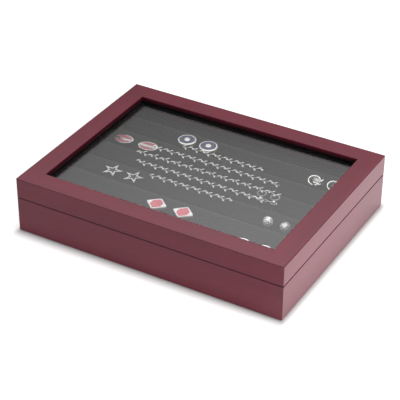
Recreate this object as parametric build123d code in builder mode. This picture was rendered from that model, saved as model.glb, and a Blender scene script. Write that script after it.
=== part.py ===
from build123d import *
import math
import os

# Cufflink display box with a glazed lid, in millimetres.
# The frame stands at the centre of the footprint, on the surface that the box rests on.
# +X runs to the right along the front, +Y to the rear and +Z up.

# Case, outside
width = 266.7
depth = 201.6
felt_thickness = 0.8
base_height = 34.9
lid_height = 20.15
seam_gap = 0.2
wall_thickness = 10.0
rail_width = 19.2
rail_wall = 12.0

# Eased edges of the wood
top_ease = 1.0
seam_ease = 0.6
foot_ease = 0.6
inner_ease = 0.4
corner_ease = 0.6

# Floor of the base
panel_thickness = 4.0
panel_rebate = 4.0
panel_clearance = 0.2
felt_inset = 2.5
felt_corner = 3.0
board_thickness = 2.0
board_clearance = 0.25

# Glass and the beads that hold it
glass_setback = 5.1
glass_thickness = 3.0
glass_clearance = 0.75
glass_arris = 0.3
bead_height = 3.6
bead_clearance = 0.1
bead_round = 1.2

# Velvet lining and rolls
liner_thickness = 1.5
liner_clearance = 0.1
liner_below_rim = 0.6
slot_count = 7
slot_pitch = 26.7
slot_width = 3.0
roll_shoulder = 32.4
roll_rise = 5.8
half_roll_rise = 2.5
roll_end_gap = 0.8

# Stop hinges
hinge_half_spacing = 72.0
hinge_length = 38.0
hinge_offset = 2.7
knuckle_count = 5
knuckle_radius = 2.4
knuckle_end_gap = 0.15
cove_radius = 2.6
pin_radius = 1.0
pin_bore_radius = 1.05
leaf_width = 8.0
leaf_thickness = 2.0
leaf_corner = 1.0
heel_height = 4.4
heel_reach = 3.5
opening_angle = 95.0
stop_relief = 1.0
mortise_clearance = 0.1

# Countersunk hinge screws
screw_half_spacing = 11.0
screw_setback = 4.4
screw_head_radius = 2.1
screw_shank_radius = 1.05
screw_length = 9.0
screw_point = 1.8
screw_bore_clearance = 0.06
screw_bore_depth = 9.5
screw_slot_width = 0.6
screw_slot_depth = 0.6
countersink_angle = 90.0

# Cufflink posts and toggles
post_radius = 1.1
fork_width = 4.7
fork_gap = 2.9
fork_thickness = 2.2
fork_top = 32.6
fork_throat = 31.0
pivot_height = 21.2
pivot_radius = 0.55
pivot_bore_radius = 0.6
fork_tail = 1.3
toggle_length = 17.0
toggle_width = 2.7
collar_height = 1.4
collar_radius = 3.0

# Cufflink heads
head_bottom = 38.6
inlay_depth = 0.7
inlay_clearance = 0.03
disc_thickness = 3.6
disc_radius = 8.8
disc_rim = 1.3
disc_bevel = 0.5
boss_radius = 2.9
boss_rise = 0.7
wire_sides = 6
knot_ring_radius = 5.5
knot_wire_radius = 0.85
knot_ring_shift = 2.4
knot_ring_height = 39.9
knot_tilt = 18.0
knot_headings = (90, 210, 330)
knot_hub_radius = 3.3
knot_hub_thickness = 1.2
oval_thickness = 2.0
oval_long_radius = 10.0
oval_short_radius = 7.2
oval_rim = 1.1
oval_bar = 3.4
link_bead_radius = 2.1
link_bead_centre = 41.2
link_bead_rise = 1.2
link_ring_radius = 4.0
link_ring_wire = 0.65
link_ring_reach = 7.8
link_ring_heading = 108.0
link_eye_radius = 1.9
link_eye_wire = 0.45
link_eye_reach = 8.3
link_eye_heading = 190.0
link_stem_radius = 0.7
star_points = 5
star_heading = -56.0
star_radius = 10.0
star_waist = 3.9
star_bottom = 39.6
star_thickness = 1.8
star_sunk_radius = 6.0
star_sunk_waist = 2.4
star_sink = 0.8
ball_radius = 4.8
ball_centre = 39.0
lozenge_thickness = 2.6
lozenge_length = 21.0
lozenge_width = 18.0
lozenge_corner = 1.6
lozenge_rim = 1.1
lozenge_wire = 0.6
lozenge_middle = 10.6
pearl_radius = 8.7
pearl_rim = 0.8
pearl_rise = 1.8
pearl_cup = 1.6
pearl_tilt = 13.0
pearl_centre = 40.2
pearl_shift = 5.9

# Heights and places that follow
wood_bottom = felt_thickness
seam = wood_bottom + base_height
rim = seam - seam_gap / 2
lid_bottom = seam + seam_gap / 2
lid_top = seam + lid_height
panel_top = wood_bottom + panel_thickness
board_top = panel_top + board_thickness
glass_top = lid_top - glass_setback
glass_bottom = glass_top - glass_thickness
bead_bottom = glass_bottom - bead_height
inner_x = width / 2 - wall_thickness
inner_y = depth / 2 - wall_thickness
lined_x = inner_x - liner_clearance - liner_thickness
lined_y = inner_y - liner_clearance - liner_thickness
roll_half_length = lined_x - roll_end_gap
hinge_y = depth / 2 + hinge_offset
knuckle_pitch = hinge_length / knuckle_count

os.makedirs("parts", exist_ok=True)
up = Vector(0, 0, 1)


def finish(builder, name):
    """Labels a finished piece and writes it."""
    builder.part.label = name
    export_step(builder.part, f"parts/{name}.step")


# The four sides of the case: outward middle of the face, and half the side's length.
sides = {
    "front": (Vector(0, -depth / 2), width / 2),
    "rear": (Vector(0, depth / 2), width / 2),
    "left": (Vector(-width / 2, 0), depth / 2),
    "right": (Vector(width / 2, 0), depth / 2),
}


def section_plane(side):
    """A side's cross-section: x runs inward from the outer face and y runs up."""
    middle, _ = sides[side]
    inward = -middle.normalized()
    return Plane(origin=middle, x_dir=inward, z_dir=inward.cross(up))


def mitre(side):
    """Cuts both ends of the bar that is being made to 45 degrees, and eases their sharp tips."""
    middle, half_length = sides[side]
    inward = -middle.normalized()
    along = inward.cross(up)
    for end in (along, -along):
        corner = middle + end * half_length
        split(bisect_by=Plane(origin=corner, z_dir=end + inward), keep=Keep.BOTTOM)
        eased = corner - end * corner_ease
        split(bisect_by=Plane(origin=eased, z_dir=end - inward), keep=Keep.BOTTOM)


def near(face, *corners):
    """The sketch's corners that stand at the given points of its section."""
    return [v for v in face.vertices() for c in corners if (Vector(v) - Vector(*c)).length < 0.01]


def wall_section(side):
    """Base wall: a plank with a rebate for the bottom panel and eased edges."""
    with BuildSketch(section_plane(side)) as section:
        with BuildLine():
            Polyline(
                (0, wood_bottom),
                (wall_thickness - panel_rebate, wood_bottom),
                (wall_thickness - panel_rebate, panel_top),
                (wall_thickness, panel_top),
                (wall_thickness, rim),
                (0, rim),
                close=True,
            )
        make_face()
        chamfer(near(section.sketch_local, (0, rim)), seam_ease)
        chamfer(near(section.sketch_local, (0, wood_bottom)), foot_ease)
        chamfer(near(section.sketch_local, (wall_thickness, rim)), inner_ease)
    return section.sketch


def rail_section(side):
    """Lid rail: an L whose lip covers the edge of the glass."""
    with BuildSketch(section_plane(side)) as section:
        with BuildLine():
            Polyline(
                (0, lid_bottom),
                (rail_wall, lid_bottom),
                (rail_wall, glass_top),
                (rail_width, glass_top),
                (rail_width, lid_top),
                (0, lid_top),
                close=True,
            )
        make_face()
        fillet(near(section.sketch_local, (0, lid_top)), top_ease)
        chamfer(near(section.sketch_local, (0, lid_bottom)), seam_ease)
        chamfer(near(section.sketch_local, (rail_width, lid_top)), inner_ease)
    return section.sketch


def bead_section(side):
    """Glazing bead: a strip with a rounded lower inner edge, under the glass."""
    outer = rail_wall + bead_clearance
    with BuildSketch(section_plane(side)) as section:
        with BuildLine():
            Polyline(
                (outer, bead_bottom),
                (rail_width, bead_bottom),
                (rail_width, glass_bottom),
                (outer, glass_bottom),
                close=True,
            )
        make_face()
        fillet(near(section.sketch_local, (rail_width, bead_bottom)), bead_round)
    return section.sketch


def cut_hinge_seats(face, outward):
    """Mortises for the two leaves and holes for their screws, in a rear edge.

    face is the height of that edge and outward is +1 where it faces up, -1 where it faces down.
    """
    mortise_length = hinge_length + 2 * mortise_clearance
    mortise_width = leaf_width + mortise_clearance
    with BuildSketch(Plane.XY.offset(face)) as mortises:
        for x in (-hinge_half_spacing, hinge_half_spacing):
            with Locations((x, depth / 2 - mortise_width / 2)):
                Rectangle(mortise_length, mortise_width)
    extrude(mortises.sketch, amount=-outward * leaf_thickness, mode=Mode.SUBTRACT)
    with BuildSketch(Plane.XY.offset(face)) as bores:
        with Locations(*screw_places()):
            Circle(screw_shank_radius + screw_bore_clearance)
    extrude(bores.sketch, amount=-outward * screw_bore_depth, mode=Mode.SUBTRACT)


def screw_places():
    """The four screws of one body's leaves, seen from above."""
    return [
        (hinge + offset, depth / 2 - screw_setback)
        for hinge in (-hinge_half_spacing, hinge_half_spacing)
        for offset in (-screw_half_spacing, screw_half_spacing)
    ]


# Base walls and lid rails
for side in sides:
    half_length = sides[side][1]
    with BuildPart() as wall:
        extrude(wall_section(side), amount=half_length, both=True)
        mitre(side)
        if side == "rear":
            cut_hinge_seats(rim, 1)
    finish(wall, f"base_{side}_wall")

    with BuildPart() as rail:
        extrude(rail_section(side), amount=half_length, both=True)
        mitre(side)
        if side == "rear":
            cut_hinge_seats(lid_bottom, -1)
    finish(rail, f"lid_{side}_rail")

    with BuildPart() as bead:
        extrude(bead_section(side), amount=half_length, both=True)
        mitre(side)
    finish(bead, f"glazing_bead_{side}")

# Bottom panel, in the rebate of the walls
with BuildPart() as bottom_panel:
    with BuildSketch(Plane.XY.offset(wood_bottom)):
        rebate_reach = 2 * (wall_thickness - panel_rebate + panel_clearance)
        Rectangle(width - rebate_reach, depth - rebate_reach)
    extrude(amount=panel_thickness)
finish(bottom_panel, "bottom_panel")

# Felt sheet under the whole footprint
with BuildPart() as underside_felt:
    with BuildSketch():
        RectangleRounded(width - 2 * felt_inset, depth - 2 * felt_inset, felt_corner)
    extrude(amount=felt_thickness)
finish(underside_felt, "underside_felt")

# Insert board, the stiff floor of the padding
with BuildPart() as insert_board:
    with BuildSketch(Plane.XY.offset(panel_top)):
        Rectangle(2 * (inner_x - board_clearance), 2 * (inner_y - board_clearance))
    extrude(amount=board_thickness)
finish(insert_board, "insert_board")

# Velvet-covered liner strips: the front and rear ones run past the ends of the side ones
liner_height = rim - liner_below_rim - board_top
for side in sides:
    across = side in ("left", "right")
    half_run = lined_y - liner_clearance if across else inner_x - liner_clearance
    with BuildPart() as liner:
        with BuildSketch(section_plane(side)):
            centre = wall_thickness + liner_clearance + liner_thickness / 2
            with Locations((centre, board_top + liner_height / 2)):
                Rectangle(liner_thickness, liner_height)
        extrude(amount=half_run, both=True)
    finish(liner, f"liner_{side}")


def roll(name, low, high, rise):
    """A padded roll between two slot faces, with a crowned top."""
    middle = (low + high) / 2
    with BuildPart() as padding:
        with BuildSketch(Plane.YZ):
            with BuildLine():
                Polyline(
                    (low, roll_shoulder),
                    (low, board_top),
                    (high, board_top),
                    (high, roll_shoulder),
                )
                ThreePointArc(
                    (high, roll_shoulder), (middle, roll_shoulder + rise), (low, roll_shoulder)
                )
            make_face()
        extrude(amount=roll_half_length, both=True)
    finish(padding, name)


# Rolls between neighbouring slots, then the narrow ones at the front and rear
slots = [(index - (slot_count - 1) / 2) * slot_pitch for index in range(slot_count)]
for number, (before, after) in enumerate(zip(slots, slots[1:]), start=1):
    roll(f"velvet_roll_{number}", before + slot_width / 2, after - slot_width / 2, roll_rise)
outer_face = lined_y - roll_end_gap
roll("velvet_half_roll_front", -outer_face, slots[0] - slot_width / 2, half_roll_rise)
roll("velvet_half_roll_rear", slots[-1] + slot_width / 2, outer_face, half_roll_rise)


def hinge_leaf(name, hinge_x, facing):
    """One leaf of a stop hinge, with its knuckles, heel and countersunk screw holes.

    facing is -1 for the lower leaf, which has the first, third and last knuckle, and +1 for the
    upper leaf, which has the two between. The back of each heel is bevelled, so that the two
    bevels meet behind the pin when the lid has turned by the opening angle.
    """
    bevel = math.radians((opening_angle + stop_relief) / 2)
    plate_near = facing * seam_gap / 2
    plate_far = facing * (seam_gap / 2 + leaf_thickness)
    own = range(0, knuckle_count, 2) if facing < 0 else range(1, knuckle_count, 2)
    axis_plane = Plane(origin=(hinge_x, hinge_y, seam), x_dir=(0, 1, 0), z_dir=(1, 0, 0))

    def barrel(index, radius, end_gap, mode):
        start = -hinge_length / 2 + index * knuckle_pitch
        with BuildSketch(axis_plane.offset(start + end_gap)) as ring:
            Circle(radius)
        extrude(ring.sketch, amount=knuckle_pitch - 2 * end_gap, mode=mode)

    with BuildPart() as leaf:
        with BuildSketch(axis_plane):
            with BuildLine():
                Polyline(
                    (-hinge_offset - leaf_width, plate_near),
                    (seam_gap / 2 / math.tan(bevel), plate_near),
                    (heel_reach, facing * heel_reach * math.tan(bevel)),
                    (heel_reach, facing * heel_height),
                    (-hinge_offset, facing * heel_height),
                    (-hinge_offset, plate_far),
                    (-hinge_offset - leaf_width, plate_far),
                    close=True,
                )
            make_face()
        extrude(amount=hinge_length / 2, both=True)
        toe = leaf.edges().filter_by(Axis.Z).group_by(Axis.Y)[0]
        fillet(toe, leaf_corner)
        for index in range(knuckle_count):
            if index not in own:
                barrel(index, cove_radius, 0, Mode.SUBTRACT)
        for index in own:
            barrel(index, knuckle_radius, knuckle_end_gap, Mode.ADD)
        with BuildSketch(axis_plane):
            Circle(pin_bore_radius)
        extrude(amount=hinge_length, both=True, mode=Mode.SUBTRACT)
        for offset in (-screw_half_spacing, screw_half_spacing):
            seat = Plane(
                origin=(hinge_x + offset, depth / 2 - screw_setback, seam + plate_near),
                z_dir=(0, 0, -facing),
            )
            with Locations(seat):
                CounterSinkHole(
                    radius=screw_shank_radius + screw_bore_clearance,
                    counter_sink_radius=screw_head_radius + screw_bore_clearance,
                    depth=leaf_thickness,
                    counter_sink_angle=countersink_angle,
                )
    finish(leaf, name)


def screw_group(name, face, outward):
    """The four slotted countersunk screws of one body's leaves."""
    with BuildPart() as screws:
        for x, y in screw_places():
            tip = -outward * screw_length
            neck = -outward * (screw_head_radius - screw_shank_radius)
            taper = -outward * (screw_length - screw_point)
            with BuildSketch(Plane(origin=(x, y, face), x_dir=(1, 0, 0), z_dir=(0, -1, 0))):
                with BuildLine():
                    Polyline(
                        (0, 0),
                        (screw_head_radius, 0),
                        (screw_shank_radius, neck),
                        (screw_shank_radius, taper),
                        (0, tip),
                        close=True,
                    )
                make_face()
            revolve(axis=Axis((x, y, face), (0, 0, 1)))
            with BuildSketch(Plane.XY.offset(face)):
                with Locations((x, y)):
                    Rectangle(2 * screw_head_radius, screw_slot_width)
            extrude(amount=-outward * screw_slot_depth, mode=Mode.SUBTRACT)
    finish(screws, name)


# Two stop hinges, their pins and their screws
for hand, hinge_x in (("left", -hinge_half_spacing), ("right", hinge_half_spacing)):
    hinge_leaf(f"lower_hinge_leaf_{hand}", hinge_x, -1)
    hinge_leaf(f"upper_hinge_leaf_{hand}", hinge_x, 1)
    with BuildPart() as hinge_pin:
        with BuildSketch(Plane(origin=(hinge_x, hinge_y, seam), x_dir=(0, 1, 0), z_dir=(1, 0, 0))):
            Circle(pin_radius)
        extrude(amount=hinge_length / 2, both=True)
        chamfer(hinge_pin.edges().filter_by(GeomType.CIRCLE), pin_radius / 4)
    finish(hinge_pin, f"hinge_pin_{hand}")
screw_group("base_hinge_screws", rim, 1)
screw_group("lid_hinge_screws", lid_bottom, -1)

# Glass pane, with its edges just ground
with BuildPart() as glass_pane:
    with BuildSketch(Plane.XY.offset(glass_bottom)):
        reach = 2 * (rail_wall + glass_clearance)
        Rectangle(width - reach, depth - reach)
    extrude(amount=glass_thickness)
    chamfer(glass_pane.edges(), glass_arris)
finish(glass_pane, "glass_pane")


def disc_on(plane, x, y, radius, amount, mode=Mode.ADD):
    """A round plate, boss or hole on a plane, centred at x, y."""
    with BuildSketch(plane) as round_face:
        with Locations((x, y)):
            Circle(radius)
    extrude(round_face.sketch, amount=amount, mode=mode)


def post(x, y, top):
    """A cufflink's collar, round post and long fork, in the slot at y."""
    with Locations((x, y, top - collar_height)):
        Cone(
            post_radius,
            collar_radius,
            collar_height,
            align=(Align.CENTER, Align.CENTER, Align.MIN),
        )
    disc_on(Plane.XY.offset(fork_throat), x, y, post_radius, top - fork_throat)
    fork_bottom = pivot_height - fork_tail
    with BuildSketch(Plane.XZ.offset(-y)) as fork:
        with Locations((x, (fork_top + fork_bottom) / 2)):
            Rectangle(fork_width, fork_top - fork_bottom)
        with Locations((x, (fork_throat + fork_bottom) / 2)):
            Rectangle(fork_gap, fork_throat - fork_bottom, mode=Mode.SUBTRACT)
    extrude(fork.sketch, amount=fork_thickness / 2, both=True)
    with BuildSketch(Plane.YZ.offset(x)) as pivot:
        with Locations((y, pivot_height)):
            Circle(pivot_bore_radius)
    extrude(pivot.sketch, amount=fork_width, both=True, mode=Mode.SUBTRACT)


def toggles(name, places):
    """The toggle bars of a pair, folded in line with their posts, with a trunnion on each side."""
    with BuildPart() as bars:
        for x, y in places:
            with BuildSketch(Plane.XZ.offset(-y)):
                with Locations((x, pivot_height)):
                    SlotOverall(toggle_length, toggle_width, rotation=90)
            extrude(amount=fork_thickness / 2, both=True)
            with BuildSketch(Plane.YZ.offset(x)):
                with Locations((y, pivot_height)):
                    Circle(pivot_radius)
            extrude(amount=fork_width / 2, both=True)
    finish(bars, name)


def place_pair(row, first, second):
    """The two cufflinks of a pair: their slot counts from the middle one, + to the rear."""
    return [(first, row * slot_pitch), (second, row * slot_pitch)]


pairs = {
    "disc": place_pair(2, -47.8, -24.8),
    "knot": place_pair(2, 88.3, 107.3),
    "oval": place_pair(1, -101.6, -74.5),
    "link": place_pair(0, 58.5, 71.9),
    "star": place_pair(-1, -79.7, -57.2),
    "ball": place_pair(-1, 80.0, 97.0),
    "lozenge": place_pair(-2, -16.5, 10.5),
    "pearl": place_pair(-3, 78.4, 99.2),
}
for kind, places in pairs.items():
    toggles(f"{kind}_toggles", places)

head_plane = Plane.XY.offset(head_bottom)


def inlay_floor(thickness):
    """The floor of the enamel's recess in a head of the given thickness."""
    return head_plane.offset(thickness - inlay_depth)


def wire_ring(centre, axis, ring_radius, wire_radius):
    """A closed ring of bright-cut wire, whose section is a hexagon."""
    across = axis.cross(Vector(0, 1, 0)).normalized()
    with BuildSketch(Plane(origin=centre, x_dir=across, z_dir=across.cross(axis))) as wire:
        with Locations((ring_radius, 0)):
            RegularPolygon(wire_radius, wire_sides)
    revolve(wire.sketch, axis=Axis(centre, axis))


# Enamelled discs: a bevelled silver rim and a small boss round a ring of enamel
disc_floor = inlay_floor(disc_thickness)
with BuildPart() as disc_heads:
    for x, y in pairs["disc"]:
        post(x, y, head_bottom)
        disc_on(head_plane, x, y, disc_radius, disc_thickness)
    rims = disc_heads.edges().filter_by(GeomType.CIRCLE).group_by(Axis.Z)[-1]
    chamfer(rims, disc_bevel)
    for x, y in pairs["disc"]:
        disc_on(disc_floor, x, y, disc_radius - disc_rim, inlay_depth, Mode.SUBTRACT)
        disc_on(disc_floor, x, y, boss_radius, inlay_depth + boss_rise)
    bosses = disc_heads.edges().filter_by(GeomType.CIRCLE).group_by(Axis.Z)[-1]
    chamfer(bosses, boss_rise)
finish(disc_heads, "disc_heads")

with BuildPart() as disc_enamel:
    for x, y in pairs["disc"]:
        disc_on(disc_floor, x, y, disc_radius - disc_rim - inlay_clearance, inlay_depth)
        disc_on(disc_floor, x, y, boss_radius + inlay_clearance, inlay_depth, Mode.SUBTRACT)
finish(disc_enamel, "disc_enamel")

# Knots: three wire rings woven over and under each other, held by a hub in the middle
with BuildPart() as knot:
    hub_bottom = knot_ring_height - knot_hub_thickness / 2
    post(0, 0, hub_bottom)
    disc_on(Plane.XY.offset(hub_bottom), 0, 0, knot_hub_radius, knot_hub_thickness)
    lean = math.radians(knot_tilt)
    for heading in knot_headings:
        away = Vector(1, 0).rotate(Axis.Z, heading)
        ring_middle = up * knot_ring_height + away * knot_ring_shift
        ring_axis = up * math.cos(lean) + up.cross(away) * math.sin(lean)
        wire_ring(ring_middle, ring_axis, knot_ring_radius, knot_wire_radius)

with BuildPart() as knot_heads:
    with Locations(*pairs["knot"]):
        add(knot.part)
finish(knot_heads, "knot_heads")

# Ovals: two enamel fields, parted by a silver bar
oval_floor = inlay_floor(oval_thickness)
with BuildPart() as oval_heads:
    for x, y in pairs["oval"]:
        post(x, y, head_bottom)
        with BuildSketch(head_plane):
            with Locations((x, y)):
                Ellipse(oval_long_radius, oval_short_radius)
        extrude(amount=oval_thickness)
        with BuildSketch(oval_floor):
            with Locations((x, y)):
                Ellipse(oval_long_radius - oval_rim, oval_short_radius - oval_rim)
                Rectangle(2 * oval_long_radius, oval_bar, mode=Mode.SUBTRACT)
        extrude(amount=inlay_depth, mode=Mode.SUBTRACT)
finish(oval_heads, "oval_heads")

with BuildPart() as oval_enamel:
    for x, y in pairs["oval"]:
        with BuildSketch(oval_floor):
            with Locations((x, y)):
                Ellipse(
                    oval_long_radius - oval_rim - inlay_clearance,
                    oval_short_radius - oval_rim - inlay_clearance,
                )
                Rectangle(
                    2 * oval_long_radius, oval_bar + 2 * inlay_clearance, mode=Mode.SUBTRACT
                )
        extrude(amount=inlay_depth)
finish(oval_enamel, "oval_enamel")

# Links: a bead over the post, with a large and a small wire ring on stems beside it
with BuildPart() as link:
    bead_centre = up * link_bead_centre
    post(0, 0, link_bead_centre - link_bead_rise)
    with Locations(bead_centre):
        Sphere(link_bead_radius)
    for heading, reach, ring_radius, wire_radius in (
        (link_ring_heading, link_ring_reach, link_ring_radius, link_ring_wire),
        (link_eye_heading, link_eye_reach, link_eye_radius, link_eye_wire),
    ):
        away = Vector(1, 0).rotate(Axis.Z, heading)
        wire_ring(bead_centre + away * reach, up, ring_radius, wire_radius)
        stem_radius = min(link_stem_radius, wire_radius)
        with BuildSketch(Plane(origin=bead_centre, z_dir=away)):
            Circle(stem_radius)
        extrude(amount=reach - ring_radius)

with BuildPart() as link_heads:
    with Locations(*pairs["link"]):
        add(link.part)
finish(link_heads, "link_heads")


def star(x, y, reach, waist):
    """A star round x, y with straight sides."""
    points = []
    for step in range(2 * star_points):
        length = reach if step % 2 == 0 else waist
        angle = math.radians(star_heading + 180 * step / star_points)
        points.append((x + length * math.cos(angle), y + length * math.sin(angle)))
    with BuildSketch(Plane.XY, mode=Mode.PRIVATE) as outline:
        with BuildLine():
            Polyline(*points, close=True)
        make_face()
    return outline.sketch


# Stars: slender points round a sunk middle of the same form
with BuildPart() as star_heads:
    for x, y in pairs["star"]:
        post(x, y, star_bottom)
        with BuildSketch(Plane.XY.offset(star_bottom)):
            add(star(x, y, star_radius, star_waist))
        extrude(amount=star_thickness)
        with BuildSketch(Plane.XY.offset(star_bottom + star_thickness - star_sink)):
            add(star(x, y, star_sunk_radius, star_sunk_waist))
        extrude(amount=star_sink, mode=Mode.SUBTRACT)
finish(star_heads, "star_heads")

# Balls, which sit lower in their slot
with BuildPart() as ball_heads:
    for x, y in pairs["ball"]:
        post(x, y, ball_centre - ball_radius + collar_height)
        with Locations((x, y, ball_centre)):
            Sphere(ball_radius)
finish(ball_heads, "ball_heads")


def lozenge(x, y, inset):
    """The lozenge outline with round corners, drawn inset from the head's edge."""
    with BuildSketch(Plane.XY, mode=Mode.PRIVATE) as outline:
        with Locations((x, y)):
            Polygon(
                (lozenge_length / 2, 0),
                (0, lozenge_width / 2),
                (-lozenge_length / 2, 0),
                (0, -lozenge_width / 2),
            )
        fillet(outline.vertices(), lozenge_corner)
        if inset:
            offset(amount=-inset)
    return outline.sketch


def lozenge_cells(x, y, inset, margin):
    """The middle field and the two tips inside the rim, parted by thin wires."""
    wire_reach = lozenge_middle + lozenge_wire
    add(lozenge(x, y, inset))
    for hand in (-1, 1):
        with Locations((x + hand * wire_reach / 2, y)):
            Rectangle(lozenge_wire + 2 * margin, lozenge_width, mode=Mode.SUBTRACT)


# Lozenges: a middle field and two tips of enamel
lozenge_floor = inlay_floor(lozenge_thickness)
with BuildPart() as lozenge_heads:
    for x, y in pairs["lozenge"]:
        post(x, y, head_bottom)
        with BuildSketch(head_plane):
            add(lozenge(x, y, 0))
        extrude(amount=lozenge_thickness)
        with BuildSketch(lozenge_floor):
            lozenge_cells(x, y, lozenge_rim, 0)
        extrude(amount=inlay_depth, mode=Mode.SUBTRACT)
finish(lozenge_heads, "lozenge_heads")

with BuildPart() as lozenge_middles:
    for x, y in pairs["lozenge"]:
        with BuildSketch(lozenge_floor):
            lozenge_cells(x, y, lozenge_rim + inlay_clearance, inlay_clearance)
            with Locations((x, y)):
                Rectangle(lozenge_middle, lozenge_width, mode=Mode.INTERSECT)
        extrude(amount=inlay_depth)
finish(lozenge_middles, "lozenge_middles")

with BuildPart() as lozenge_tips:
    for x, y in pairs["lozenge"]:
        with BuildSketch(lozenge_floor):
            lozenge_cells(x, y, lozenge_rim + inlay_clearance, inlay_clearance)
            with Locations((x, y)):
                Rectangle(lozenge_middle, lozenge_width, mode=Mode.SUBTRACT)
        extrude(amount=inlay_depth)
finish(lozenge_tips, "lozenge_tips")


def pearl_plane(x, y):
    """The tilted seat of a pearl: its rear edge stands higher."""
    lean = math.radians(pearl_tilt)
    return Plane(
        origin=(x, y + pearl_shift, pearl_centre),
        x_dir=(1, 0, 0),
        z_dir=(0, -math.sin(lean), math.cos(lean)),
    )


# Pearl heads: a tilted cup with a low cabochon in it
pearl_neck = pearl_centre - (pearl_shift - collar_radius) * math.tan(math.radians(pearl_tilt))
with BuildPart() as pearl_heads:
    for x, y in pairs["pearl"]:
        post(x, y, pearl_neck)
        disc_on(pearl_plane(x, y), 0, 0, pearl_radius + pearl_rim, pearl_cup)
        cup_floor = pearl_plane(x, y).offset(pearl_cup - inlay_depth)
        disc_on(cup_floor, 0, 0, pearl_radius, inlay_depth, Mode.SUBTRACT)
finish(pearl_heads, "pearl_heads")

with BuildPart() as pearls:
    for x, y in pairs["pearl"]:
        cap_radius = pearl_radius - inlay_clearance
        edge = inlay_depth + pearl_rim / 4
        seat = pearl_plane(x, y).offset(pearl_cup - inlay_depth)
        across = Plane(origin=seat.origin, x_dir=seat.x_dir, z_dir=-seat.y_dir)
        with BuildSketch(across):
            with BuildLine():
                Polyline((0, edge + pearl_rise), (0, 0), (cap_radius, 0), (cap_radius, edge))
                RadiusArc(
                    (cap_radius, edge),
                    (0, edge + pearl_rise),
                    -(cap_radius**2 + pearl_rise**2) / (2 * pearl_rise),
                )
            make_face()
        revolve(axis=Axis(seat.origin, seat.z_dir))
finish(pearls, "pearls")
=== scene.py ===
import logging
import math
from collections.abc import Mapping, Sequence
from dataclasses import dataclass, field, replace
from enum import Enum
from typing import Any

import bmesh
import bpy
from mathutils import Matrix, Vector, noise


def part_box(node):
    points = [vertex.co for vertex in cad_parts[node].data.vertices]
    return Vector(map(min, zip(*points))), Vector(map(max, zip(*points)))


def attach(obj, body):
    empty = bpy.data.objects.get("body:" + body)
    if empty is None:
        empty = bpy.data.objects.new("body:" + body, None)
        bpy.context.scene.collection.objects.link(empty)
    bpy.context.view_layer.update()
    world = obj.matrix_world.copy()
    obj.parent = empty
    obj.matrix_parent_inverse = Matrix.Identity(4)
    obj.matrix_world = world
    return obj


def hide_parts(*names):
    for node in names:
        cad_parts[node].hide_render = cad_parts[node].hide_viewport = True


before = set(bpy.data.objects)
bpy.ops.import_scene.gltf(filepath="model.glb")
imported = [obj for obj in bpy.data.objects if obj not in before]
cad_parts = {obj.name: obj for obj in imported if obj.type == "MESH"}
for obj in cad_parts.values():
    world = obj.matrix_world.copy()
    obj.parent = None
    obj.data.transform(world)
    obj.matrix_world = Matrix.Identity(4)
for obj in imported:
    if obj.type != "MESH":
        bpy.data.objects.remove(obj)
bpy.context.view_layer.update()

log = logging.getLogger("cufflink_box")
MM = 0.001
ACROSS_GRAIN = 12.0
NOISE_MEAN = 0.5

Colour = tuple[float, float, float]
Piece = bpy.types.Object
Mesh = bmesh.types.BMesh
Material = bpy.types.Material
WHITE: Colour = (1.0, 1.0, 1.0)


class Side(Enum):
    """The four sides of the case, with the outward direction of each."""

    FRONT = (0, -1)
    REAR = (0, 1)
    LEFT = (-1, 0)
    RIGHT = (1, 0)

    @property
    def word(self) -> str:
        """The side's name as the nodes spell it."""
        return self.name.lower()

    @property
    def grain(self) -> "Grain":
        """The way that the wood of this side runs."""
        return Grain.ALONG_X if self.value[0] == 0 else Grain.ALONG_Y


class Grain(Enum):
    """The way that a piece of wood was cut: how fine its figure is along X, Y and Z."""

    ALONG_X = (1.0, ACROSS_GRAIN, ACROSS_GRAIN)
    ALONG_Y = (ACROSS_GRAIN, 1.0, ACROSS_GRAIN)


@dataclass(frozen=True)
class Pattern:
    """Soft noise: its cells to the metre, and the number and strength of its finer layers."""

    scale: float
    detail: float = 2.0
    rough: float = 0.5

    def coarser(self, times: float) -> "Pattern":
        """The same pattern with cells that are so many times as long."""
        return replace(self, scale=self.scale / times)


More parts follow.
